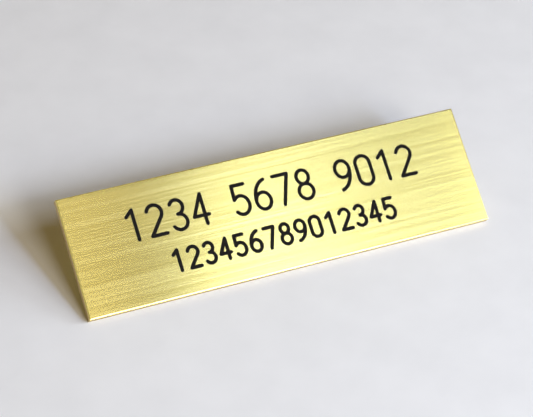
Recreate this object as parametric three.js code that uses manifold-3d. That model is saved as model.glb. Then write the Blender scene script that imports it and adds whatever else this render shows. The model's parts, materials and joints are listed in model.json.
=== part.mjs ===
// A pin-on name plate: an engraver's brass plate with a bar pin bonded to its back.
// Units are millimetres and degrees, +Z is up. The plate lies on a table as it was laid down:
// on its lower back edge and on the catch and hinge of the pin, so that its face leans back.
// The origin is the middle of the whole part's footprint, on the table. +X runs along the plate.

import * as THREE from "three";
import { mergeVertices } from "three/addons/utils/BufferGeometryUtils.js";
import Module from "manifold-3d";

const wasm = await Module();
wasm.setup();

// Face plate: brass sheet cut to size, with a small bevel round the front
const PLATE_LENGTH = 70;
const PLATE_HEIGHT = 20;
const PLATE_THICKNESS = 1.5;
const PLATE_BEVEL = 0.25;
const PLATE_BAYS = 7; // equal lengths that the plate's long faces are divided into

// Adhesive pad: foam tape between the plate and the bar
const PAD_THICKNESS = 0.8;
const PAD_END_MARGIN = 0.5; // the pad stops this far short of each end of the bar
const PAD_CORNER = 0.6;

// Pin bar: one sheet steel pressing, a flat strip whose narrow neck is folded up into two ears
const BAR_LINE = 10; // height of the bar's centreline above the plate's lower edge
const BAR_LENGTH = 36;
const BAR_WIDTH = 6;
const BAR_SHEET = 0.6;
const BAR_CORNER = 1.5;
const BAR_HOLES = 3;
const BAR_HOLE_RADIUS = 1.1;
const BAR_HOLE_PITCH = 6;
const NECK_WIDTH = 1.6;
const NECK_TAPER = 3.5; // length over which the strip narrows to its neck
const NECK_LEAD = 0.6; // flat neck before the ears begin
const EAR_BASE = 4.4; // length of an ear where it leaves the strip
const EAR_BEND = 0.4; // outer radius of the fold

// Hinge: a rivet through both ears and the needle's eye
const HINGE_INSET = 3.4; // from the bar's end to the hinge
const RIVET_RADIUS = 0.5;
const RIVET_HEAD_RADIUS = 1.0;
const RIVET_HEAD_HEIGHT = 0.4;

// Needle: hard wire, its end pressed flat into an eye with a heel that stops it when open
const NEEDLE_RADIUS = 0.45;
const NEEDLE_OVERRUN = 1.2; // the point reaches this far past the catch
const POINT_LENGTH = 5;
const POINT_TIP_RADIUS = 0.05;
const EYE_RADIUS = 1.2;
const EYE_THICKNESS = 0.6;
const EYE_NECK = 3.4; // from the hinge to where the wire is round again
const EYE_NECK_RADIUS = 0.3; // half width of the flat neck where it runs into the wire
const EYE_BLEND = 1.0; // length over which the wire swells out of the flat neck
const HEEL_REACH = 2.9;
const HEEL_RADIUS = 0.4;
const OPEN_TURN = 90; // from closed to the heel's stop on the bar

// Catch: a rolled housing staked to the bar, and a sleeve that turns in it to lock the needle
const CATCH_INSET = 4; // from the bar's end to the middle of the catch
const CATCH_LENGTH = 3.4;
const CATCH_RADIUS = 2.2;
const CATCH_WALL = 0.45;
const FOOT_RISE = 0.3; // clear height between the bar and the rolled wall
const FOOT_WIDTH = 3.2;
const FOOT_SPREAD = 40; // either side of the foot's middle, where it meets the rolled wall
const STAKE_RADIUS = 0.7;
const SLEEVE_BORE_RADIUS = 1.0;
const SLEEVE_END_PLAY = 0.1;
const LEVER_THICKNESS = 0.6;
const LEVER_LENGTH = 0.9; // along the bar
const LEVER_REACH = 3.65; // from the sleeve's axis to the lever's tip
const LEVER_LEAD = 15; // from the edge of the sleeve's mouth to the lever
const LOCK_TURN = 75; // from unlocked to locked

// Clearances
const SEAT_GAP = 0.02; // between faces that are bonded or staked together
const RIVET_FIT = 0.03; // radial, rivet in the ears and stake in the bar
const EYE_FIT = 0.06; // radial, rivet in the needle's eye
const EAR_FIT = 0.1; // each side of the eye
const SLEEVE_FIT = 0.08; // radial, sleeve in its housing
const MOUTH_FIT = 0.12; // each side of the needle in the sleeve's mouth
const SLOT_FIT = 0.1; // each side of the lever in its slot
const STOP_GAP = 0.1; // between the heel and the bar when the needle is fully open

// Curve resolution: straight steps in one curve of an outline, and round a turned piece
const ARC_STEPS = 20;
const RING_STEPS = 40;
const TURN_STEPS = 24;

// Worked out from the dimensions above
const earGap = EYE_THICKNESS + 2 * EAR_FIT;
const earSpan = earGap + 2 * BAR_SHEET;
const barBack = 2 * SEAT_GAP + PAD_THICKNESS; // from the plate's back to the bar's
const axisRise = CATCH_RADIUS + FOOT_RISE; // needle, hinge and catch share one height over the bar
const axisDepth = barBack + BAR_SHEET + axisRise; // from the plate's back
const hingeX = BAR_LENGTH / 2 - HINGE_INSET;
const catchX = CATCH_INSET - BAR_LENGTH / 2;
const neckX = hingeX - EAR_BASE / 2 - NECK_LEAD;
const shoulderX = neckX - NECK_TAPER;
const sleeveRadius = CATCH_RADIUS - CATCH_WALL - SLEEVE_FIT;
const mouthHalf = Math.asin((NEEDLE_RADIUS + MOUTH_FIT) / SLEEVE_BORE_RADIUS);
const leverAngle = mouthHalf + THREE.MathUtils.degToRad(LEVER_LEAD);
const heelAngle =
  THREE.MathUtils.degToRad(OPEN_TURN) -
  Math.asin((axisRise - HEEL_RADIUS - STOP_GAP) / (HEEL_REACH - HEEL_RADIUS));

// The table is tangent to the catch and meets the plate's lower back edge. The ears are as tall as
// the table allows, so that the part stands on both ends of its pin.
const lean =
  Math.atan2(axisDepth, BAR_LINE) + Math.asin(CATCH_RADIUS / Math.hypot(axisDepth, BAR_LINE));
const earRadius = Math.tan(lean) * (BAR_LINE - earSpan / 2) - axisDepth;

// Solids

// A closed three.js geometry as a solid that can be joined and cut.
function solid(geometry) {
  const bare = geometry.index ? geometry.toNonIndexed() : geometry.clone();
  bare.deleteAttribute("normal");
  bare.deleteAttribute("uv");
  const merged = mergeVertices(bare, 1e-5);
  const vertProperties = merged.attributes.position.array;
  const triVerts = new Uint32Array(merged.index.array);
  return new wasm.Manifold(new wasm.Mesh({ numProp: 3, vertProperties, triVerts }));
}

// A solid back as a three.js geometry.
function geometryOf(body) {
  const mesh = body.getMesh();
  const geometry = new THREE.BufferGeometry();
  geometry.setAttribute("position", new THREE.BufferAttribute(mesh.vertProperties, 3));
  geometry.setIndex(new THREE.BufferAttribute(mesh.triVerts, 1));
  geometry.computeVertexNormals();
  return geometry;
}

// A profile drawn in the X-Y plane, extruded up from z = 0.
function alongZ(shape, depth, steps = ARC_STEPS) {
  return new THREE.ExtrudeGeometry(shape, { depth, bevelEnabled: false, curveSegments: steps });
}

// A profile drawn in the Y-Z plane, extruded along X and centred on x = 0.
function alongX(shape, length, steps = ARC_STEPS) {
  const axes = new THREE.Matrix4().makeBasis(
    new THREE.Vector3(0, 1, 0),
    new THREE.Vector3(0, 0, 1),
    new THREE.Vector3(1, 0, 0),
  );
  return alongZ(shape, length, steps).translate(0, 0, -length / 2).applyMatrix4(axes);
}

// A profile drawn in the X-Z plane, extruded along Y and centred on y = 0.
function alongY(shape, length, steps = ARC_STEPS) {
  return alongZ(shape, length, steps).translate(0, 0, -length / 2).rotateX(Math.PI / 2);
}

// A rod along Y, centred on the origin.
function rodAlongY(radius, length) {
  return new THREE.CylinderGeometry(radius, radius, length, TURN_STEPS);
}

// A rod along X, centred on the origin.
function rodAlongX(radius, length, steps) {
  return new THREE.CylinderGeometry(radius, radius, length, steps).rotateZ(Math.PI / 2);
}

// Outlines

// A rectangle with round corners, centred on the origin.
function roundedRectangle(length, width, radius) {
  const x = length / 2 - radius;
  const y = width / 2 - radius;
  const shape = new THREE.Shape();
  shape.absarc(x, -y, radius, -Math.PI / 2, 0, false);
  shape.absarc(x, y, radius, 0, Math.PI / 2, false);
  shape.absarc(-x, y, radius, Math.PI / 2, Math.PI, false);
  shape.absarc(-x, -y, radius, Math.PI, 1.5 * Math.PI, false);
  shape.closePath();
  return shape;
}

// The band that wraps two circles: one at the origin, one at (reach, 0).
function teardrop(radius, endRadius, reach) {
  const tangent = Math.acos((radius - endRadius) / reach);
  const shape = new THREE.Shape();
  shape.absarc(0, 0, radius, tangent, 2 * Math.PI - tangent, false);
  shape.absarc(reach, 0, endRadius, -tangent, tangent, false);
  shape.closePath();
  return shape;
}

// Part of a ring, between two angles that are measured from the second axis of the profile,
// which points away from the plate, round towards the plate's upper edge.
function ringPart(inner, outer, from, to) {
  const start = from + Math.PI / 2;
  const end = to + Math.PI / 2;
  const shape = new THREE.Shape();
  shape.absarc(0, 0, outer, start, end, false);
  shape.absarc(0, 0, inner, end, start, true);
  shape.closePath();
  return shape;
}

// Pieces, each in a frame of its own

// The plate is a block whose front edges are pulled in by the bevel. Its origin is its centre.
function facePlate() {
  const block = new THREE.BoxGeometry(PLATE_LENGTH, PLATE_HEIGHT, PLATE_THICKNESS, PLATE_BAYS, 1, 2);
  const corner = new THREE.Vector3();
  const position = block.attributes.position;
  const end = PLATE_LENGTH / 2;
  for (let i = 0; i < position.count; i++) {
    corner.fromBufferAttribute(position, i);
    if (Math.abs(corner.z) < PLATE_THICKNESS / 4) {
      corner.z = PLATE_THICKNESS / 2 - PLATE_BEVEL;
    } else if (corner.z > 0) {
      corner.y -= Math.sign(corner.y) * PLATE_BEVEL;
      if (Math.abs(corner.x) > end - PLATE_BEVEL) corner.x -= Math.sign(corner.x) * PLATE_BEVEL;
    }
    position.setXYZ(i, corner.x, corner.y, corner.z);
  }
  block.computeVertexNormals();
  return block;
}

// The pad's origin is the middle of its face on the plate.
function adhesivePad() {
  const length = BAR_LENGTH - 2 * PAD_END_MARGIN;
  return alongZ(roundedRectangle(length, BAR_WIDTH, PAD_CORNER), PAD_THICKNESS, 6);
}

// The strip's outline: square-ended at the catch, drawn in to a narrow neck at the hinge.
function stripOutline() {
  const half = BAR_WIDTH / 2;
  const neck = NECK_WIDTH / 2;
  const end = BAR_LENGTH / 2;
  const bend = (shoulderX + neckX) / 2;
  const shape = new THREE.Shape();
  shape.absarc(-end + BAR_CORNER, half - BAR_CORNER, BAR_CORNER, Math.PI / 2, Math.PI, false);
  shape.absarc(-end + BAR_CORNER, BAR_CORNER - half, BAR_CORNER, Math.PI, 1.5 * Math.PI, false);
  shape.lineTo(shoulderX, -half);
  shape.bezierCurveTo(bend, -half, bend, -neck, neckX, -neck);
  shape.absarc(end - neck, 0, neck, -Math.PI / 2, Math.PI / 2, false);
  shape.lineTo(neckX, neck);
  shape.bezierCurveTo(bend, neck, bend, half, shoulderX, half);
  shape.closePath();
  return shape;
}

// Round holes along the strip's open middle, between the catch and the shoulder of the neck.
function stripHoles() {
  const middle = (catchX + CATCH_LENGTH / 2 + shoulderX) / 2;
  const holes = [];
  for (let i = 0; i < BAR_HOLES; i++) {
    const x = middle + (i - (BAR_HOLES - 1) / 2) * BAR_HOLE_PITCH;
    holes.push(new THREE.Path().absarc(x, 0, BAR_HOLE_RADIUS, 0, 2 * Math.PI, true));
  }
  holes.push(new THREE.Path().absarc(catchX, 0, STAKE_RADIUS + RIVET_FIT, 0, 2 * Math.PI, true));
  return holes;
}

// The section of the folded neck: a square-cornered U with a rounded outside.
function earSection(height) {
  const outer = earSpan / 2;
  const inner = earGap / 2;
  const shape = new THREE.Shape();
  shape.moveTo(-outer, height);
  shape.lineTo(-outer, EAR_BEND);
  shape.absarc(EAR_BEND - outer, EAR_BEND, EAR_BEND, Math.PI, 1.5 * Math.PI, false);
  shape.absarc(outer - EAR_BEND, EAR_BEND, EAR_BEND, -Math.PI / 2, 0, false);
  shape.lineTo(outer, height);
  shape.lineTo(inner, height);
  shape.lineTo(inner, BAR_SHEET);
  shape.lineTo(-inner, BAR_SHEET);
  shape.lineTo(-inner, height);
  shape.closePath();
  return shape;
}

// An ear seen from the side: a wide root and a round top about the hinge.
function earProfile() {
  const axis = BAR_SHEET + axisRise;
  const shape = new THREE.Shape();
  shape.moveTo(-EAR_BASE / 2, 0);
  shape.lineTo(EAR_BASE / 2, 0);
  shape.absarc(0, axis, earRadius, 0, Math.PI, false);
  shape.closePath();
  return shape;
}

// The bar's origin is the middle of its face on the pad.
function pinBar() {
  const outline = stripOutline();
  outline.holes = stripHoles();
  const height = BAR_SHEET + axisRise + earRadius;
  const folded = solid(alongX(earSection(height), EAR_BASE));
  const ears = folded.intersect(solid(alongY(earProfile(), earSpan)));
  const bore = solid(rodAlongY(RIVET_RADIUS + RIVET_FIT, 2 * earSpan));
  const drilled = ears.subtract(bore.translate([0, 0, BAR_SHEET + axisRise]));
  return geometryOf(solid(alongZ(outline, BAR_SHEET)).add(drilled.translate([hingeX, 0, 0])));
}

// The rivet lies along Y, with its origin in the middle of the shank.
function hingeRivet() {
  const seat = earSpan / 2 + SEAT_GAP;
  const top = seat + RIVET_HEAD_HEIGHT;
  const rim = seat + RIVET_HEAD_HEIGHT / 2;
  const dome = new THREE.QuadraticBezierCurve(
    new THREE.Vector2(RIVET_HEAD_RADIUS, rim),
    new THREE.Vector2(RIVET_HEAD_RADIUS, top),
    new THREE.Vector2(0, top),
  ).getPoints(6);
  const upper = [
    new THREE.Vector2(RIVET_RADIUS, seat),
    new THREE.Vector2(RIVET_HEAD_RADIUS, seat),
    ...dome,
  ];
  const lower = upper.map((p) => new THREE.Vector2(p.x, -p.y)).reverse();
  return new THREE.LatheGeometry([...lower, ...upper], TURN_STEPS);
}

// The needle points along -X from its origin, which is the hinge.
function needle() {
  const length = hingeX - catchX + CATCH_LENGTH / 2 + NEEDLE_OVERRUN;
  const root = EYE_NECK - EYE_BLEND;
  const point = new THREE.QuadraticBezierCurve(
    new THREE.Vector2(NEEDLE_RADIUS, length - POINT_LENGTH),
    new THREE.Vector2(NEEDLE_RADIUS, length - POINT_LENGTH / 2),
    new THREE.Vector2(POINT_TIP_RADIUS, length),
  ).getPoints(8);
  const profile = [
    new THREE.Vector2(0, root),
    new THREE.Vector2(EYE_THICKNESS / 2, root),
    new THREE.Vector2(NEEDLE_RADIUS, EYE_NECK),
    ...point,
    new THREE.Vector2(0, length),
  ];
  const wire = new THREE.LatheGeometry(profile, TURN_STEPS).rotateZ(Math.PI / 2);
  const eye = alongY(teardrop(EYE_RADIUS, EYE_NECK_RADIUS, EYE_NECK), EYE_THICKNESS);
  const heelLength = HEEL_REACH - HEEL_RADIUS;
  const heel = alongY(teardrop(2 * HEEL_RADIUS, HEEL_RADIUS, heelLength), EYE_THICKNESS, 8);
  const pressed = solid(eye.rotateY(Math.PI)).add(solid(heel.rotateY(-heelAngle)));
  const hole = solid(rodAlongY(RIVET_RADIUS + EYE_FIT, 2 * EYE_THICKNESS));
  return geometryOf(pressed.add(solid(wire)).subtract(hole));
}

// The housing's origin is on the needle's axis, in the middle of the catch.
function catchHousing() {
  const bore = CATCH_RADIUS - CATCH_WALL;
  const underside = SEAT_GAP - axisRise;
  const spread = THREE.MathUtils.degToRad(FOOT_SPREAD);
  const wallMiddle = CATCH_RADIUS - CATCH_WALL / 2;
  const topY = wallMiddle * Math.sin(spread);
  const topZ = -wallMiddle * Math.cos(spread);
  const foot = new THREE.Shape();
  foot.moveTo(-FOOT_WIDTH / 2, underside);
  foot.lineTo(FOOT_WIDTH / 2, underside);
  foot.lineTo(topY, topZ);
  foot.lineTo(-topY, topZ);
  foot.closePath();
  const wall = ringPart(bore, CATCH_RADIUS, mouthHalf, 2 * Math.PI - mouthHalf);
  const stake = new THREE.CylinderGeometry(STAKE_RADIUS, STAKE_RADIUS, BAR_SHEET, TURN_STEPS)
    .rotateX(Math.PI / 2)
    .translate(0, 0, underside - BAR_SHEET / 2 + SEAT_GAP);
  const leverHalf = Math.asin((LEVER_THICKNESS / 2 + SLOT_FIT) / bore);
  const slotEnd = leverAngle + THREE.MathUtils.degToRad(LOCK_TURN) + leverHalf;
  const slot = ringPart(bore / 2, 2 * CATCH_RADIUS, 0, slotEnd);
  return geometryOf(
    solid(alongX(foot, CATCH_LENGTH))
      .subtract(solid(rodAlongX(bore, 2 * CATCH_LENGTH, 2 * RING_STEPS)))
      .add(solid(alongX(wall, CATCH_LENGTH, RING_STEPS)))
      .add(solid(stake))
      .subtract(solid(alongX(slot, LEVER_LENGTH + 2 * SLOT_FIT, RING_STEPS))),
  );
}

// The sleeve shares the housing's origin. It is drawn unlocked, with its mouth facing the housing's.
function catchSleeve() {
  const ring = ringPart(SLEEVE_BORE_RADIUS, sleeveRadius, mouthHalf, 2 * Math.PI - mouthHalf);
  const body = solid(alongX(ring, CATCH_LENGTH - 2 * SLEEVE_END_PLAY, RING_STEPS));
  const tipRadius = LEVER_THICKNESS / 2;
  const root = (SLEEVE_BORE_RADIUS + sleeveRadius) / 2;
  const outline = teardrop(tipRadius, tipRadius, LEVER_REACH - tipRadius - root);
  const lever = alongX(outline, LEVER_LENGTH, 8)
    .translate(0, root, 0)
    .rotateX(Math.PI / 2 + leverAngle);
  return geometryOf(body.add(solid(lever)));
}

// Finishes
const brass = { color: 0xd9c46e, roughness: 0.32, metalness: 1 };
const nickel = { color: 0xb9b7b1, roughness: 0.25, metalness: 1 };
const hardSteel = { color: 0xc4c5c7, roughness: 0.18, metalness: 1 };
const foam = { color: 0xe9e8e2, roughness: 0.95, metalness: 0 };

function piece(name, geometry, finish, x, y, z) {
  const mesh = new THREE.Mesh(geometry, new THREE.MeshStandardMaterial(finish));
  mesh.name = name;
  mesh.position.set(x, y, z);
  return mesh;
}

// The pin, built up from the plate's back: its +Z points away from the plate, its -Y up the plate.
function pinAssembly() {
  const pin = new THREE.Group();
  pin.add(piece("adhesive_pad", adhesivePad(), foam, 0, 0, SEAT_GAP));
  pin.add(piece("pin_bar", pinBar(), nickel, 0, 0, barBack));
  pin.add(piece("hinge_rivet", hingeRivet(), nickel, hingeX, 0, axisDepth));
  pin.add(piece("needle", needle(), hardSteel, hingeX, 0, axisDepth));
  pin.add(piece("catch_housing", catchHousing(), nickel, catchX, 0, axisDepth));
  pin.add(piece("catch_sleeve", catchSleeve(), nickel, catchX, 0, axisDepth));
  pin.position.set(0, BAR_LINE, 0);
  pin.rotation.x = Math.PI;
  return pin;
}

// The plate's back is z = 0 and its lower edge y = 0, until the whole is leaned and centred.
const leaning = new THREE.Group();
const plate = piece("face_plate", facePlate(), brass, 0, PLATE_HEIGHT / 2, PLATE_THICKNESS / 2);
leaning.add(plate, pinAssembly());
leaning.rotation.x = lean;

const namePlate = new THREE.Group();
namePlate.add(leaning);
namePlate.updateMatrixWorld(true);
const bounds = new THREE.Box3().setFromObject(namePlate, true);
const middle = bounds.getCenter(new THREE.Vector3());
leaning.position.set(-middle.x, -middle.y, -bounds.min.z);

export default namePlate;
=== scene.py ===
# %% [markdown]
# # A pin-on name plate in brushed brass
#
# The object is a small engraved plate of brass sheet with a bar pin bonded to its back.
# The CAD frame already holds every solid at its real size, so this scene only adds looks:
# the cut and filled figures, soft edges, and a finish for each surface.

# %% Load the frame
import json
import math

import bmesh
import bpy
from mathutils import Matrix, Vector


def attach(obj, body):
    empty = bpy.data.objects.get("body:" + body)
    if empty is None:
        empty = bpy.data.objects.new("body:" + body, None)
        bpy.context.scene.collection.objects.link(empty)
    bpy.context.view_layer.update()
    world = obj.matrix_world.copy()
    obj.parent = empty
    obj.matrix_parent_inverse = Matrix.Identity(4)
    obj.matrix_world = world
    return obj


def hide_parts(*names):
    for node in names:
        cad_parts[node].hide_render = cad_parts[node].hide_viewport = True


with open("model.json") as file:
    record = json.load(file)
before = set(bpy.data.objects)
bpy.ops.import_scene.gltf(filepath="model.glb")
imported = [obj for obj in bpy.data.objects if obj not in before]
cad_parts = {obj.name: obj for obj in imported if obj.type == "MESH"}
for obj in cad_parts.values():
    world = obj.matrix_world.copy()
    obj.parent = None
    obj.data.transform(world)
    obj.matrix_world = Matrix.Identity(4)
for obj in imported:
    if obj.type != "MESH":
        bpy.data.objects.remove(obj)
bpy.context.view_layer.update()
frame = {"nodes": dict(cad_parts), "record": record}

# %% [markdown]
# Blender works in metres and the plate's drawing is in millimetres, so one constant turns
# sizes over. Colours are written as sRGB hex, which is how a paint chart gives them, and
# shaders want linear light, so one function turns them too.

# %% Units and colours
MM = 0.001


def linear(hex_colour):
    """An sRGB hex colour as the linear RGBA that a shader socket takes."""
    channels = [int(hex_colour[i : i + 2], 16) / 255 for i in (1, 3, 5)]
    light = [c / 12.92 if c <= 0.04045 else ((c + 0.055) / 1.055) ** 2.4 for c in channels]
    return (*light, 1.0)


print("brass yellow in linear light:", [round(c, 3) for c in linear("#EDDB80")])

# %% [markdown]
# The plate leans back on its pin. Everything on it is easier to draw lying flat: x along
# the plate, y up it from the lower edge, and z out of its face, with z = 0 on its back.
# The record's mount on the back gives the lean and a point on that plane, so the matrix
# from the flat drawing to the row frame is worked out and never measured by eye.

# %% The plate's own axes
back_mount = next(m for m in frame["record"]["mounts"] if m["name"] == "back_left")
back_out = Vector(back_mount["axis"])
lean = math.atan2(back_out.y, -back_out.z)
on_back = Vector(back_mount["pos_m"])
lower_edge_y = on_back.y - on_back.z / math.tan(lean)
FLAT_TO_ROW = Matrix.Translation((0, lower_edge_y, 0)) @ Matrix.Rotation(lean, 4, "X")

PLATE_LENGTH = 70 * MM
PLATE_HEIGHT = 20 * MM
PLATE_THICKNESS = 1.5 * MM
print("lean:", round(math.degrees(lean), 2), "degrees")

# %% [markdown]
# A finished piece keeps its object at the origin, with its place in its mesh, as the CAD
# nodes do. This helper turns a bmesh into such an object, gives it its finishes and lets it
# ride on its CAD body, so that it moves when the body does.

# %% Finish a piece


def finish_piece(name, bm, materials, body, replaces=()):
    """A bmesh in the row frame becomes a piece that rides on a CAD body."""
    mesh = bpy.data.meshes.new(name)
    bm.to_mesh(mesh)
    bm.free()
    piece = bpy.data.objects.new(name, mesh)
    bpy.context.collection.objects.link(piece)
    for material in materials:
        mesh.materials.append(material)
    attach(piece, body)
    if replaces:
        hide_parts(*replaces)
    print(name, "faces:", len(mesh.polygons))


# %% [markdown]
# A material is a small graph of nodes. One function adds a node, sets its inputs by name
# and hands back the output that is wanted, so that each finish below reads as a recipe.

# %% Add a node


def add_node(tree, kind, settings=None, stops=(), out=0, **inputs):
    """One output of a new node. An input is a plain value or another node's output.

    An input goes by its name, or by its identifier where a node has one name twice.
    """
    node = tree.nodes.new(kind)
    for key, value in (settings or {}).items():
        setattr(node, key, value)
    for i, (position, colour) in enumerate(stops):
        elements = node.color_ramp.elements
        element = elements[i] if i < 2 else elements.new(1.0)
        element.position = position
        element.color = linear(colour)
    for name, value in inputs.items():
        socket = next(
            s for s in node.inputs if name in (s.identifier, s.name.replace(" ", "_"))
        )
        if isinstance(value, bpy.types.NodeSocket):
            tree.links.new(value, socket)
        else:
            socket.default_value = value
    return node.outputs[out] if node.outputs else None


def blank_material(name):
    """An empty material and its tree."""
    material = bpy.data.materials.new(name)
    material.use_nodes = True
    material.node_tree.nodes.clear()
    return material, material.node_tree


# %% [markdown]
# The face is engraver's brass, drawn once over a belt of fine abrasive along its length.
# Each scratch is a tiny groove along x, so light spreads up and down the plate and hardly
# along it. The Principled shader's anisotropy does that: its tangent is the direction of
# spread, which is up the plate. Streaks come from noise that is stretched along x, with a
# few short flecks, where the belt skipped, mixed in. Real scratches are far too fine to
# show at this size, so the streaks are drawn coarser.
#
# The brass's patterns are drawn in the plate's own axes, so that they run along the sheet
# and not along the table.

# %% Patterns in the plate's axes


def on_plate(tree, along, up, deep):
    """Coordinates turned to the plate, in which a noise has this size in each direction."""
    place = add_node(tree, "ShaderNodeTexCoord", out="Object")
    flat = add_node(
        tree,
        "ShaderNodeMapping",
        {"vector_type": "TEXTURE"},
        Vector=place,
        Location=(0, lower_edge_y, 0),
        Rotation=(lean, 0, 0),
    )
    scale = (1 / along, 1 / up, 1 / deep)
    return add_node(tree, "ShaderNodeMapping", Vector=flat, Scale=scale)


print("the plate's axes start at y in mm:", round(lower_edge_y / MM, 2))

# %% [markdown]
# The plate was drawn over the belt by hand, which leaves two small signs. The belt pressed
# less at the right end, so the streaks fade there towards the noise's middle value. And
# the strokes turn a little from the lower edge to the upper, so the bright band across the
# plate slants.

# %% The belt's marks
SCRATCH_PITCH = 0.22 * MM
SCRATCH_LENGTH = 45 * MM
FLECK_PITCH = 0.16 * MM
FLECK_LENGTH = 0.5 * MM
FLECK_SHARE = 0.25
NOISE_MIDDLE = 0.5
RIGHT_FADE = 0.35
STROKE_TURN = math.tan(math.radians(0.8))


def belt_scratches(tree):
    """Long streaks along the plate."""
    return add_node(
        tree,
        "ShaderNodeTexNoise",
        Vector=on_plate(tree, SCRATCH_LENGTH, SCRATCH_PITCH, SCRATCH_PITCH),
        Scale=1.0,
        Detail=1.0,
        Roughness=0.6,
    )


def belt_grain(tree, scratches):
    """The streaks with short flecks mixed in, both fading towards the right end."""
    flecks = add_node(
        tree,
        "ShaderNodeTexNoise",
        Vector=on_plate(tree, FLECK_LENGTH, FLECK_PITCH, FLECK_PITCH),
        Scale=1.0,
        Detail=1.0,
    )
    mix = {"data_type": "FLOAT"}
    mixed = add_node(
        tree, "ShaderNodeMix", mix, Factor=FLECK_SHARE, A=scratches, B=flecks
    )
    along = add_node(
        tree, "ShaderNodeSeparateXYZ", Vector=on_plate(tree, 1, 1, 1), out="X"
    )
    fade = add_node(
        tree,
        "ShaderNodeMapRange",
        Value=along,
        From_Max=PLATE_LENGTH / 2,
        To_Max=RIGHT_FADE,
    )
    return add_node(tree, "ShaderNodeMix", mix, Factor=fade, A=mixed, B=NOISE_MIDDLE)


def spread_direction(tree):
    """The way in which light spreads: up the plate, turned a little with height."""
    height = add_node(
        tree, "ShaderNodeSeparateXYZ", Vector=on_plate(tree, 1, 1, 1), out="Y"
    )
    turn = add_node(
        tree,
        "ShaderNodeMapRange",
        Value=height,
        From_Max=PLATE_HEIGHT,
        To_Min=-STROKE_TURN,
        To_Max=STROKE_TURN,
    )
    return add_node(
        tree, "ShaderNodeCombineXYZ", X=turn, Y=math.cos(lean), Z=math.sin(lean)
    )


print("the strokes turn by", round(math.degrees(math.atan(STROKE_TURN)), 2), "degrees")

# %% [markdown]
# One grain drives both the colour and the roughness, so that a streak is a little darker
# and smoother or a little lighter and rougher, never one without the other. The bump is
# slight, because at this size the eye sees how the grooves shine and not how deep they
# are.

# %% Brushed brass
BRASS_SMOOTHEST = 0.207
BRASS_ROUGHEST = 0.253


def brushed_brass():
    material, tree = blank_material("brushed_engravers_brass")
    scratches = belt_scratches(tree)
    grain = belt_grain(tree, scratches)
    colour = add_node(
        tree, "ShaderNodeValToRGB", stops=[(0.35, "#DCC86F"), (0.65, "#F4E38D")], Fac=grain
    )
    rough = add_node(
        tree,
        "ShaderNodeMapRange",
        Value=grain,
        To_Min=BRASS_SMOOTHEST,
        To_Max=BRASS_ROUGHEST,
    )
    bump = add_node(
        tree, "ShaderNodeBump", Strength=0.08, Distance=0.01 * MM, Height=scratches
    )
    shader = add_node(
        tree,
        "ShaderNodeBsdfPrincipled",
        Base_Color=colour,
        Metallic=1.0,
        Roughness=rough,
        Anisotropic=1.0,
        Normal=bump,
        Tangent=spread_direction(tree),
    )
    add_node(tree, "ShaderNodeOutputMaterial", Surface=shader)
    return material


face_brass = brushed_brass()
print("finish:", face_brass.name)

# %% [markdown]
# A guillotine cuts the plate from its sheet. The blade rolls the face's edge over a
# little, and rubbing leaves that roll-over smooth and bright. The cut itself is left dull,
# with fine shear marks through the sheet's thickness. Its colours are browner and darker
# than the face's: painted shade, to match the plate's sides where they stand in shadow.

# %% Polished roll-over and cut edge


def edge_metal(name, mark_size, dark, light, smooth, rough):
    """Isotropic brass with faint marks, for the parts that the belt doesn't reach."""
    material, tree = blank_material(name)
    marks = add_node(
        tree,
        "ShaderNodeTexNoise",
        Vector=on_plate(tree, *mark_size),
        Scale=1.0,
        Detail=2.0,
    )
    stops = [(0.3, dark), (0.7, light)]
    colour = add_node(tree, "ShaderNodeValToRGB", stops=stops, Fac=marks)
    spread = add_node(tree, "ShaderNodeMapRange", Value=marks, To_Min=smooth, To_Max=rough)
    shader = add_node(
        tree, "ShaderNodeBsdfPrincipled", Base_Color=colour, Metallic=1.0, Roughness=spread
    )
    add_node(tree, "ShaderNodeOutputMaterial", Surface=shader)
    return material


rub_marks = (3 * MM, 0.15 * MM, 0.15 * MM)
shear_marks = (0.12 * MM, 0.12 * MM, 1.5 * MM)
rolled_brass = edge_metal(
    "rubbed_roll_over", rub_marks, "#DDC86D", "#F2E084", smooth=0.3, rough=0.38
)
# The cut's colours are browner and darker than the face's, a painted shade.
cut_edge_painted_shade = edge_metal(
    "dull_cut_brass", shear_marks, "#C6AD77", "#D1B882", smooth=0.38, rough=0.48
)
print("finishes:", rolled_brass.name, cut_edge_painted_shade.name)

# %% [markdown]
# The cut figures are filled with engraver's paint: a black enamel, wiped flush and left
# to shrink a little below the face. It is a dielectric, and wiping has left it matt.

# %% Black engraving enamel
BLOTCH_SIZE = 0.6 * MM


def black_enamel():
    material, tree = blank_material("black_engraving_enamel")
    place = add_node(tree, "ShaderNodeTexCoord", out="Object")
    blotches = add_node(
        tree, "ShaderNodeTexNoise", Vector=place, Scale=1 / BLOTCH_SIZE, Detail=2.0
    )
    colour = add_node(
        tree, "ShaderNodeValToRGB", stops=[(0.3, "#0E0C09"), (0.7, "#1B1712")], Fac=blotches
    )
    bump = add_node(
        tree, "ShaderNodeBump", Strength=0.25, Distance=0.02 * MM, Height=blotches
    )
    shader = add_node(
        tree,
        "ShaderNodeBsdfPrincipled",
        Base_Color=colour,
        Roughness=0.8,
        Specular_IOR_Level=0.15,
        Normal=bump,
    )
    add_node(tree, "ShaderNodeOutputMaterial", Surface=shader)
    return material


enamel = black_enamel()
print("finish:", enamel.name)

# %% [markdown]
# The figures are cut with single strokes of a round cutter, so a figure is a set of paths
# and not an outline. A path is made of straight lines and arcs of ellipses in a box one
# unit high, as on an engraver's pantograph chart. At a sharp corner the cutter is lifted,
# and the next stroke starts where the last one ended.

# %% Single-stroke figures
FIGURE_WIDTH = 0.5
MIDDLE = FIGURE_WIDTH / 2
ARC_POINTS = 16


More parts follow.
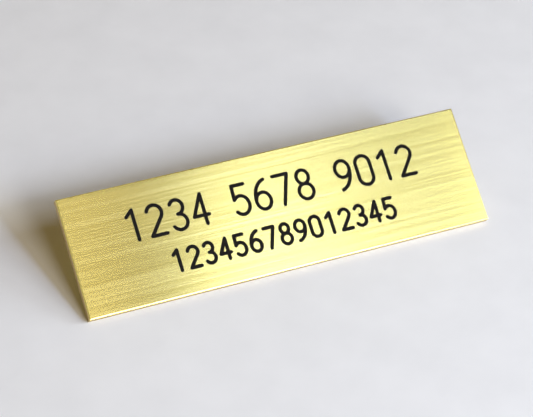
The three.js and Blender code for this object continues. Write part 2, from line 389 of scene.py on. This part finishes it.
def arc(cx, cy, rx, ry, start, end):
    """Points along an ellipse's arc, from one angle to another, in degrees."""
    turns = [start + (end - start) * i / ARC_POINTS for i in range(ARC_POINTS + 1)]
    angles = [math.radians(turn) for turn in turns]
    return [(cx + rx * math.cos(a), cy + ry * math.sin(a)) for a in angles]


top_round = arc(MIDDLE, 1 - MIDDLE, MIDDLE, MIDDLE, 0, 180)
bottom_round = arc(MIDDLE, MIDDLE, MIDDLE, MIDDLE, 180, 360)
FIGURES = {
    "0": [top_round + bottom_round + [top_round[0]]],
    "1": [[(0.08, 0.8), (0.3, 1)], [(0.3, 1), (0.3, 0)]],
    "2": [
        arc(MIDDLE, 0.74, MIDDLE, 0.26, 160, -35) + [(0, 0)],
        [(0, 0), (FIGURE_WIDTH, 0)],
    ],
    "3": [
        arc(MIDDLE, 0.76, 0.22, 0.24, 150, -90),
        arc(MIDDLE, 0.26, MIDDLE, 0.26, 90, -150),
    ],
    "4": [
        [(0.37, 0), (0.37, 1)],
        [(0.37, 1), (0, 0.29)],
        [(0, 0.29), (FIGURE_WIDTH, 0.29)],
    ],
    "5": [
        [(0.46, 1), (0.06, 1)],
        [(0.06, 1), (0.035, 0.52)],
        arc(0.235, 0.315, 0.265, 0.315, 139, -140),
    ],
    "6": [
        arc(MIDDLE, 0.29, MIDDLE, 0.29, 0, 360),
        arc(FIGURE_WIDTH, 0.29, FIGURE_WIDTH, 0.71, 180, 100),
    ],
    "7": [[(0, 1), (FIGURE_WIDTH, 1)], [(FIGURE_WIDTH, 1), (0.16, 0)]],
    "8": [
        arc(MIDDLE, 0.765, 0.21, 0.235, 0, 360),
        arc(MIDDLE, 0.265, MIDDLE, 0.265, 0, 360),
    ],
    "9": [
        arc(MIDDLE, 0.71, MIDDLE, 0.29, 0, 360),
        arc(0, 0.71, FIGURE_WIDTH, 0.71, 0, -80),
    ],
}
print("figures:", "".join(FIGURES))

# %% [markdown]
# Two lines of plain figures in counting order are engraved on the face. The upper line is
# 5 mm high and the lower 3.4 mm, the usual pair of engraving sizes, and one cutter cuts
# both. The strokes are gathered in passes: first strokes, second strokes and third
# strokes. No two strokes of one pass touch, which keeps each pass a clean solid.

# %% Lay out the two lines
passes = [[], [], []]


def lay_out(text, height, base, pitch, gap):
    """Adds each stroke of a line of figures, centred on the plate, to its pass."""
    figures = sum(c != " " for c in text)
    width = (figures - 1) * pitch + text.count(" ") * gap + FIGURE_WIDTH * height
    pen = -width / 2
    for letter in text:
        if letter == " ":
            pen += gap
            continue
        for number, path in enumerate(FIGURES[letter]):
            passes[number].append([(pen + x * height, base + y * height) for x, y in path])
        pen += pitch


lay_out("1234 5678 9012", height=5 * MM, base=10.6 * MM, pitch=3.75 * MM, gap=3.3 * MM)
lay_out("123456789012345", height=3.4 * MM, base=4.15 * MM, pitch=2.65 * MM, gap=0)
print("strokes in each pass:", [len(p) for p in passes])

# %% [markdown]
# The cutter's sweep is a round tube along each path with a round end. A curve object with
# a round bevel is Blender's own sweep, and points past the path's end, each with a smaller
# radius, close it like half a ball. The ball is larger than the groove is wide, because it
# only dips into the sheet: a chord of known width and depth gives its radius.

# %% The cutter's path
GROOVE_WIDTH = 0.67 * MM
GROOVE_DEPTH = 0.18 * MM
END_ANGLES = [22.5, 45, 67.5, 84]
SAME_POINT = 1e-9  # metres
cutter_radius = (GROOVE_WIDTH**2 / 4 + GROOVE_DEPTH**2) / (2 * GROOVE_DEPTH)
cutter_height = PLATE_THICKNESS - GROOVE_DEPTH + cutter_radius


def round_end(tip, before, radius):
    """Points past a path's tip, with the share of the radius that each has."""
    along = (Vector(tip) - Vector(before)).normalized()
    angles = [math.radians(a) for a in END_ANGLES]
    return [(*(Vector(tip) + along * radius * math.sin(a)), math.cos(a)) for a in angles]


def cutter_path(path, radius):
    """A path's points with their shares of the radius, and whether it closes on itself."""
    closed = math.dist(path[0], path[-1]) < SAME_POINT
    points = [(x, y, 1.0) for x, y in path]
    if closed:
        points.pop()
    else:
        head = round_end(path[0], path[1], radius)
        points = head[::-1] + points + round_end(path[-1], path[-2], radius)
    return points, closed


print("cutter radius in mm:", round(cutter_radius / MM, 3))

# %% [markdown]
# Each path becomes one spline of a single curve, and Blender turns them all into tubes.
# The tubes' end caps come back loose, so their doubles are merged and the normals are
# worked out again, which gives a closed mesh that faces outwards.

# %% Sweep the cutter
ROUND_RESOLUTION = 4
SWEEP_DOUBLES = 1e-8  # metres


def sweep(strokes, radius):
    """A closed bmesh of every stroke, swept by a ball of this radius."""
    curve = bpy.data.curves.new("sweep", "CURVE")
    curve.dimensions = "3D"
    curve.bevel_depth = radius
    curve.bevel_resolution = ROUND_RESOLUTION
    curve.use_fill_caps = True
    for path in strokes:
        points, closed = cutter_path(path, radius)
        spline = curve.splines.new("POLY")
        spline.points.add(len(points) - 1)
        for point, (x, y, share) in zip(spline.points, points):
            point.co = (x, y, cutter_height, 1)
            point.radius = share
        spline.use_cyclic_u = closed
    holder = bpy.data.objects.new("sweep", curve)
    bpy.context.collection.objects.link(holder)
    depsgraph = bpy.context.evaluated_depsgraph_get()
    tubes = bpy.data.meshes.new_from_object(holder.evaluated_get(depsgraph))
    bpy.data.objects.remove(holder)
    bm = bmesh.new()
    bm.from_mesh(tubes)
    bmesh.ops.remove_doubles(bm, verts=bm.verts, dist=SWEEP_DOUBLES)
    bmesh.ops.recalc_face_normals(bm, faces=bm.faces)
    return bm


one_stroke = sweep(passes[0][:1], cutter_radius)
print("one stroke swept, faces:", len(one_stroke.faces))
one_stroke.free()

# %% [markdown]
# Cutting, joining and keeping what two solids share are all jobs of the Boolean modifier,
# put on a helper object and read back as a new mesh. Its manifold solver is quick, and a
# closed mesh stays closed.

# %% Combine two solids


def combine(bm, tool, operation):
    """One bmesh cut by, joined to or kept within another, as a new bmesh."""
    pair = []
    for part in (bm, tool):
        mesh = bpy.data.meshes.new("part")
        part.to_mesh(mesh)
        part.free()
        pair.append(bpy.data.objects.new("part", mesh))
        bpy.context.collection.objects.link(pair[-1])
    boolean = pair[0].modifiers.new("combine", "BOOLEAN")
    boolean.operation = operation
    boolean.solver = "MANIFOLD"
    boolean.object = pair[1]
    depsgraph = bpy.context.evaluated_depsgraph_get()
    result = bmesh.new()
    result.from_mesh(bpy.data.meshes.new_from_object(pair[0].evaluated_get(depsgraph)))
    for part in pair:
        bpy.data.objects.remove(part)
    return result


def groove_tool(radius):
    """All the passes of the cutter joined as one clean solid."""
    joined = sweep(passes[0], radius)
    for strokes in passes[1:]:
        joined = combine(joined, sweep(strokes, radius), "UNION")
    return joined


grooves = groove_tool(cutter_radius)
print("cutter's sweep closed:", all(e.is_manifold for e in grooves.edges))

# %% [markdown]
# The blank starts as a cube of the sheet's size. The guillotine's roll-over is a few
# insets of the front face, each one lifted a little: steep at the cut edge, and then a
# shallow slope that catches the lamp as a white line along the lower edge. The corners
# and the back's edges are rounded last, because an inset turns a small round inside out.
# Cuts across the flat of the face part it into small cells, so that no one face has to
# run round all the figures.

# %% The plate's blank
ROLL_OVER = [(0.01, 0.12), (0.03, 0.12), (0.17, 0.06)]  # mm in from the edge, mm up
POLISH_ROUND = 0.05 * MM
ROUND_SEGMENTS = 2
CELL = 2.3 * MM
LEVEL = 0.9999  # a normal that leans by less than a degree


def cut_into_cells(bm, axis, reach):
    """Cuts the front face across one axis at every CELL, as far as reach."""
    across = [1 if i == axis else 0 for i in range(3)]
    at = 0 if axis else -reach
    while (at := at + CELL) < reach:
        face = [f for f in bm.faces if f.normal.z > LEVEL]
        edges = {e for f in face for e in f.edges}
        verts = {v for f in face for v in f.verts}
        place = [at if i == axis else 0 for i in range(3)]
        bmesh.ops.bisect_plane(
            bm, geom=[*face, *edges, *verts], plane_co=place, plane_no=across
        )


def plate_blank():
    bm = bmesh.new()
    height = PLATE_THICKNESS - sum(rise for _, rise in ROLL_OVER) * MM
    size = Matrix.Diagonal((PLATE_LENGTH, PLATE_HEIGHT, height, 1))
    centre = Matrix.Translation((0, PLATE_HEIGHT / 2, height / 2))
    bmesh.ops.create_cube(bm, size=1, matrix=centre @ size)
    front = [f for f in bm.faces if f.normal.z > LEVEL]
    for width, rise in ROLL_OVER:
        bmesh.ops.inset_region(bm, faces=front, thickness=width * MM, use_even_offset=True)
        bmesh.ops.translate(bm, verts=front[0].verts[:], vec=(0, 0, rise * MM))
    corners = [e for e in bm.edges if e.calc_length() < PLATE_THICKNESS]
    back = [e for e in bm.edges if all(v.co.z < SAME_POINT for v in e.verts)]
    bmesh.ops.bevel(
        bm,
        geom=corners + back,
        offset=POLISH_ROUND,
        segments=ROUND_SEGMENTS,
        profile=0.5,
        affect="EDGES",
        material=-1,
    )
    cut_into_cells(bm, 0, PLATE_LENGTH / 2)
    cut_into_cells(bm, 1, PLATE_HEIGHT)
    return bm


engraved = combine(plate_blank(), grooves, "DIFFERENCE")
print("engraved plate closed:", all(e.is_manifold for e in engraved.edges))
print("volume in cubic mm:", round(engraved.calc_volume() / MM**3, 1))

# %% [markdown]
# The front and the back keep the sheet's brushing. The roll-over and the grooves' walls
# are smooth bare metal, and the cut edge is dull. Flat faces shade flat and curved ones
# smoothly.

# %% Finish the plate
NEAR_FACE = 1e-6  # metres
UPRIGHT = 0.1  # the most that a sheared side's normal points up or down
SMOOTH_BELOW = math.radians(50)
SHEET, BARE, CUT = range(3)  # places in the list of finishes


def is_sheet_face(face):
    z = face.calc_center_median().z
    at_a_face = z < NEAR_FACE or z > PLATE_THICKNESS - NEAR_FACE
    return abs(face.normal.z) > LEVEL and at_a_face


def is_cut(face):
    """Only the sheared sides are both upright and larger than a square millimetre."""
    return abs(face.normal.z) < UPRIGHT and face.calc_area() > MM**2


for face in engraved.faces:
    flat = is_sheet_face(face)
    face.material_index = SHEET if flat else CUT if is_cut(face) else BARE
    face.smooth = not flat
for edge in engraved.edges:
    edge.smooth = edge.calc_face_angle(0) < SMOOTH_BELOW
bmesh.ops.transform(engraved, matrix=FLAT_TO_ROW, verts=engraved.verts)
finish_piece(
    "engraved_plate",
    engraved,
    [face_brass, rolled_brass, cut_edge_painted_shade],
    "plate",
    ["face_plate"],
)

# %% [markdown]
# The paint in the figures is the part of a slightly slimmer sweep that lies below the
# face.

# %% Fill the figures
FILL_SHRINK = 0.015 * MM
FILL_CLEARANCE = 0.004 * MM
FACING_UP = 0.9


def fill_slab():
    """The upper half of the sheet, up to the paint's surface."""
    bm = bmesh.new()
    top = PLATE_THICKNESS - FILL_SHRINK
    size = Matrix.Diagonal((PLATE_LENGTH, PLATE_HEIGHT, top / 2, 1))
    centre = Matrix.Translation((0, PLATE_HEIGHT / 2, top * 3 / 4))
    bmesh.ops.create_cube(bm, size=1, matrix=centre @ size)
    return bm


fill = combine(fill_slab(), groove_tool(cutter_radius - FILL_CLEARANCE), "INTERSECT")
for face in fill.faces:
    face.smooth = face.normal.z < FACING_UP
bmesh.ops.transform(fill, matrix=FLAT_TO_ROW, verts=fill.verts)
finish_piece("figure_fill", fill, [enamel], "plate")

# %% [markdown]
# The pin's pressings are nickel-plated steel: a warm, bright plate over rolled sheet,
# whose faint waviness breaks up the reflections.

# %% Nickel plate
WAVE_SIZE = 1.2 * MM


def nickel_plate():
    material, tree = blank_material("nickel_plated_steel")
    place = add_node(tree, "ShaderNodeTexCoord", out="Object")
    waves = add_node(
        tree, "ShaderNodeTexNoise", Vector=place, Scale=1 / WAVE_SIZE, Detail=3.0
    )
    colour = add_node(
        tree, "ShaderNodeValToRGB", stops=[(0.3, "#B9B4A9"), (0.7, "#D2CEC5")], Fac=waves
    )
    rough = add_node(tree, "ShaderNodeMapRange", Value=waves, To_Min=0.18, To_Max=0.32)
    bump = add_node(tree, "ShaderNodeBump", Strength=0.3, Distance=0.01 * MM, Height=waves)
    shader = add_node(
        tree,
        "ShaderNodeBsdfPrincipled",
        Base_Color=colour,
        Metallic=1.0,
        Roughness=rough,
        Normal=bump,
    )
    add_node(tree, "ShaderNodeOutputMaterial", Surface=shader)
    return material


nickel = nickel_plate()
print("finish:", nickel.name)

# %% [markdown]
# The needle is hard steel wire, pulled through a die. The die leaves fine lines along it
# and a brighter, cooler colour than nickel has.

# %% Drawn wire
DIE_LINE_LENGTH = 6 * MM
DIE_LINE_PITCH = 0.1 * MM


def drawn_wire():
    material, tree = blank_material("drawn_steel_wire")
    place = add_node(tree, "ShaderNodeTexCoord", out="Object")
    lines = add_node(
        tree,
        "ShaderNodeMapping",
        Vector=place,
        Scale=(1 / DIE_LINE_LENGTH, 1 / DIE_LINE_PITCH, 1 / DIE_LINE_PITCH),
    )
    grain = add_node(tree, "ShaderNodeTexNoise", Vector=lines, Scale=1.0, Detail=2.0)
    colour = add_node(
        tree, "ShaderNodeValToRGB", stops=[(0.3, "#B4B4B2"), (0.7, "#D0D0CE")], Fac=grain
    )
    rough = add_node(tree, "ShaderNodeMapRange", Value=grain, To_Min=0.14, To_Max=0.26)
    shader = add_node(
        tree, "ShaderNodeBsdfPrincipled", Base_Color=colour, Metallic=1.0, Roughness=rough
    )
    add_node(tree, "ShaderNodeOutputMaterial", Surface=shader)
    return material


wire = drawn_wire()
print("finish:", wire.name)

# %% [markdown]
# The pad between the plate and the pin is foam tape with glue on both sides. Its cut edge
# shows small closed cells, so its bump comes from a Voronoi pattern.

# %% Foam tape
FOAM_CELL = 0.25 * MM


def foam_tape():
    material, tree = blank_material("closed_cell_foam")
    place = add_node(tree, "ShaderNodeTexCoord", out="Object")
    cells = add_node(tree, "ShaderNodeTexVoronoi", Vector=place, Scale=1 / FOAM_CELL)
    colour = add_node(
        tree, "ShaderNodeValToRGB", stops=[(0.1, "#F1EFE8"), (0.8, "#D9D6CC")], Fac=cells
    )
    bump = add_node(tree, "ShaderNodeBump", Strength=0.5, Distance=0.04 * MM, Height=cells)
    shader = add_node(
        tree, "ShaderNodeBsdfPrincipled", Base_Color=colour, Roughness=0.85, Normal=bump
    )
    add_node(tree, "ShaderNodeOutputMaterial", Surface=shader)
    return material


foam = foam_tape()
print("finish:", foam.name)

# %% [markdown]
# The pin's solids have their real shapes in CAD, but with knife-sharp edges. A press, a
# die or a file leaves each real edge a little round, and that round is what glints. So
# each piece is a merged copy of its solid, with its flat facets joined and every sharp
# edge bevelled. A bevel leaves the surfaces at both sides of an edge where they are, so
# all the fits stay as they are.

# %% Soften a solid's edges
CAD_DOUBLES = 1e-7  # metres
FACET_ANGLE = math.radians(1)
SHARP_ANGLE = math.radians(32)


def softened(node, radius):
    """A merged copy of a CAD solid with its sharp edges rounded."""
    bm = bmesh.new()
    bm.from_mesh(frame["nodes"][node].data)
    bmesh.ops.remove_doubles(bm, verts=bm.verts, dist=CAD_DOUBLES)
    bmesh.ops.dissolve_limit(
        bm,
        angle_limit=FACET_ANGLE,
        verts=bm.verts,
        edges=bm.edges,
        use_dissolve_boundaries=False,
    )
    before = bm.calc_volume()
    sharp = [e for e in bm.edges if e.is_manifold and e.calc_face_angle() > SHARP_ANGLE]
    bmesh.ops.bevel(
        bm,
        geom=sharp,
        offset=radius,
        segments=ROUND_SEGMENTS,
        profile=0.5,
        affect="EDGES",
        clamp_overlap=False,
        material=-1,
    )
    bmesh.ops.triangulate(bm, faces=[f for f in bm.faces if len(f.verts) > 4])
    for face in bm.faces:
        face.smooth = True
    for edge in bm.edges:
        edge.smooth = edge.calc_face_angle(0) < SHARP_ANGLE
    closed = all(e.is_manifold for e in bm.edges)
    print(node, "closed:", closed, "volume kept:", round(bm.calc_volume() / before, 4))
    return bm


print("edges sharper than", round(math.degrees(SHARP_ANGLE)), "degrees are rounded")

# %% [markdown]
# Each finished piece stands for its CAD node and rides on the same body, and the table
# below gives its finish. The pressings and the rivet come out of one plating bath, and the
# foam's cut edge is the roundest.

# %% The pin's pieces
PIN_PIECES = {
    # node: finish, body and the radius of its edges
    "pin_bar": (nickel, "plate", 0.06 * MM),
    "hinge_rivet": (nickel, "plate", 0.05 * MM),
    "catch_housing": (nickel, "plate", 0.06 * MM),
    "catch_sleeve": (nickel, "lock", 0.05 * MM),
    "needle": (wire, "pin", 0.04 * MM),
    "adhesive_pad": (foam, "plate", 0.15 * MM),
}
for node, (finish, body, radius) in PIN_PIECES.items():
    finish_piece(f"{node}_finished", softened(node, radius), [finish], body, [node])

# %% [markdown]
# The table is a sheet of pale paper, far wider than the camera's view, so its edges never
# show there.

# %% The table
MOTTLE_SIZE = 9 * MM
TABLE_HALF = 600 * MM


def paper():
    material, tree = blank_material("pale_paper")
    place = add_node(tree, "ShaderNodeTexCoord", out="Object")
    mottle = add_node(
        tree, "ShaderNodeTexNoise", Vector=place, Scale=1 / MOTTLE_SIZE, Detail=4.0
    )
    colour = add_node(
        tree, "ShaderNodeValToRGB", stops=[(0.3, "#F0F2F4"), (0.7, "#F5F7F9")], Fac=mottle
    )
    shader = add_node(tree, "ShaderNodeBsdfPrincipled", Base_Color=colour, Roughness=0.9)
    add_node(tree, "ShaderNodeOutputMaterial", Surface=shader)
    return material


def table_top():
    bm = bmesh.new()
    bmesh.ops.create_grid(bm, x_segments=1, y_segments=1, size=TABLE_HALF)
    mesh = bpy.data.meshes.new("table")
    bm.to_mesh(mesh)
    bm.free()
    table = bpy.data.objects.new("table", mesh)
    bpy.context.collection.objects.link(table)
    mesh.materials.append(paper())
    print("table's width in m:", round(table.dimensions.x, 2))


table_top()

# %% [markdown]
# The light is a soft window at the front right, above the plate. Its middle is a narrow
# bright strip, whose reflection is the bright band across the plate, and dimmer boxes at
# both sides of it light the ends and soften the shadow. A box's place is given by two
# turns about the plate, and its size is the angle that it fills as the plate sees it. Its
# power follows from its brightness, because Blender shares a lamp's watts over four times
# its area. The strips look out at the sky and are bluer than the boxes beside them, and
# the box in front is turned to a warm wall.

# %% The window
LAMP_DISTANCE = 0.8
SKY = "#D0DFFF"
DAYLIGHT = "#EEF5FF"
WARM_WALL = "#F6F0E7"
SOFTBOXES = {
    # name: degrees right, up, wide and high, brightness and colour
    "strip": (17, 35, 4.5, 14, 40, SKY),
    "beside_strip": (21.5, 38, 5, 13, 21, SKY),
    "past_strip": (26.5, 44, 5, 13, 9, SKY),
    "front": (4.5, 31, 14, 20, 12, WARM_WALL),
    "right": (34, 50, 12, 20, 7, DAYLIGHT),
    "past_right": (50, 48, 12, 20, 7, DAYLIGHT),
    "far_right": (62, 38, 14, 20, 7.5, DAYLIGHT),
}


def softbox(name, right, up, wide, high, brightness, colour):
    """An area lamp that faces the plate."""
    lamp = bpy.data.lights.new(name, "AREA")
    lamp.shape = "RECTANGLE"
    lamp.size = 2 * LAMP_DISTANCE * math.tan(math.radians(wide / 2))
    lamp.size_y = 2 * LAMP_DISTANCE * math.tan(math.radians(high / 2))
    lamp.energy = 4 * lamp.size * lamp.size_y * brightness
    lamp.color = linear(colour)[:3]
    holder = bpy.data.objects.new(name, lamp)
    bpy.context.collection.objects.link(holder)
    upwards = Matrix.Rotation(math.radians(-up), 4, "X")
    sideways = Matrix.Rotation(math.radians(right), 4, "Z")
    in_front = Matrix.Translation((0, -LAMP_DISTANCE, 0))
    facing_back = Matrix.Rotation(math.pi / 2, 4, "X")
    holder.matrix_world = (upwards @ sideways) @ (in_front @ facing_back)
    print(name, "watts:", round(lamp.energy, 2))


for name, box in SOFTBOXES.items():
    softbox(name, *box)

# %% [markdown]
# The room's own light is dim and warm, and shows in the shadow. What metal reflects of the
# room is more neutral: a pale wall behind and at the left, and dimmer elsewhere. And the
# camera sees a pale backdrop. Light Path tells these three kinds of ray apart, and one
# colour ramp holds the three looks: the light at 0, the room in metal in the middle and
# the backdrop at 1.

# %% The room
ROOM_LIGHT = "#746139"
ROOM_IN_METAL = "#6E6B66"
BACKDROP = "#DCDDE0"
WALL_STARTS = -0.4  # how far a direction points backwards, less how far rightwards
WALL_IS_FULL = 0.2
RAMP_OFF_WALL = 0.47
RAMP_AT_WALL = 0.9


def room():
    """A warm dim room that looks neutral in metal and pale to the camera."""
    world = bpy.data.worlds.new("room")
    world.use_nodes = True
    tree = world.node_tree
    tree.nodes.clear()
    camera_ray = add_node(tree, "ShaderNodeLightPath", out="Is Camera Ray")
    glossy_ray = add_node(tree, "ShaderNodeLightPath", out="Is Glossy Ray")
    clear_ray = add_node(tree, "ShaderNodeLightPath", out="Is Transmission Ray")
    larger = {"operation": "MAXIMUM"}
    minus = {"operation": "SUBTRACT"}
    times = {"operation": "MULTIPLY"}
    in_metal = add_node(
        tree, "ShaderNodeMath", larger, Value=glossy_ray, Value_001=clear_ray
    )
    direction = add_node(tree, "ShaderNodeTexCoord", out="Generated")
    rightwards = add_node(tree, "ShaderNodeSeparateXYZ", Vector=direction, out="X")
    backwards = add_node(tree, "ShaderNodeSeparateXYZ", Vector=direction, out="Y")
    towards_wall = add_node(
        tree, "ShaderNodeMath", minus, Value=backwards, Value_001=rightwards
    )
    wall = add_node(
        tree,
        "ShaderNodeMapRange",
        Value=towards_wall,
        From_Min=WALL_STARTS,
        From_Max=WALL_IS_FULL,
        To_Min=RAMP_OFF_WALL,
        To_Max=RAMP_AT_WALL,
    )
    wall_in_metal = add_node(
        tree, "ShaderNodeMath", times, Value=in_metal, Value_001=wall
    )
    which = add_node(
        tree, "ShaderNodeMath", larger, Value=camera_ray, Value_001=wall_in_metal
    )
    looks = [(0.0, ROOM_LIGHT), (0.5, ROOM_IN_METAL), (1.0, BACKDROP)]
    colour = add_node(tree, "ShaderNodeValToRGB", stops=looks, Fac=which)
    background = add_node(tree, "ShaderNodeBackground", Color=colour)
    add_node(tree, "ShaderNodeOutputWorld", Surface=background)
    return world


bpy.context.scene.world = room()
print("world:", bpy.context.scene.world.name)

# %% [markdown]
# The camera has a long lens and looks down at the plate from 30 cm away, from above its
# front and to the left. It is rolled a little, as a camera held in the hand is.

# %% Camera
CAMERA_PLACE = Vector((-94.4, -199.7, 206.2)) * MM
CAMERA_TARGET = Vector((-1.37, 1.19, 6)) * MM
CAMERA_ROLL = 3.63
FOCAL_PIXELS = 1830
IMAGE_WIDTH = 533
FULL_FRAME = 36  # a sensor's width in mm

lens = bpy.data.cameras.new("camera")
lens.sensor_width = FULL_FRAME
lens.lens = FOCAL_PIXELS / IMAGE_WIDTH * FULL_FRAME
lens.clip_start = 10 * MM
lens.clip_end = 10_000 * MM
camera = bpy.data.objects.new("camera", lens)
bpy.context.collection.objects.link(camera)
view_turn = (CAMERA_TARGET - CAMERA_PLACE).to_track_quat("-Z", "Y").to_matrix().to_4x4()
roll = Matrix.Rotation(math.radians(CAMERA_ROLL), 4, "Z")
camera.matrix_world = Matrix.Translation(CAMERA_PLACE) @ view_turn @ roll
bpy.context.scene.camera = camera
bpy.context.scene.view_settings.view_transform = "Standard"
print("lens in mm:", round(lens.lens, 1))
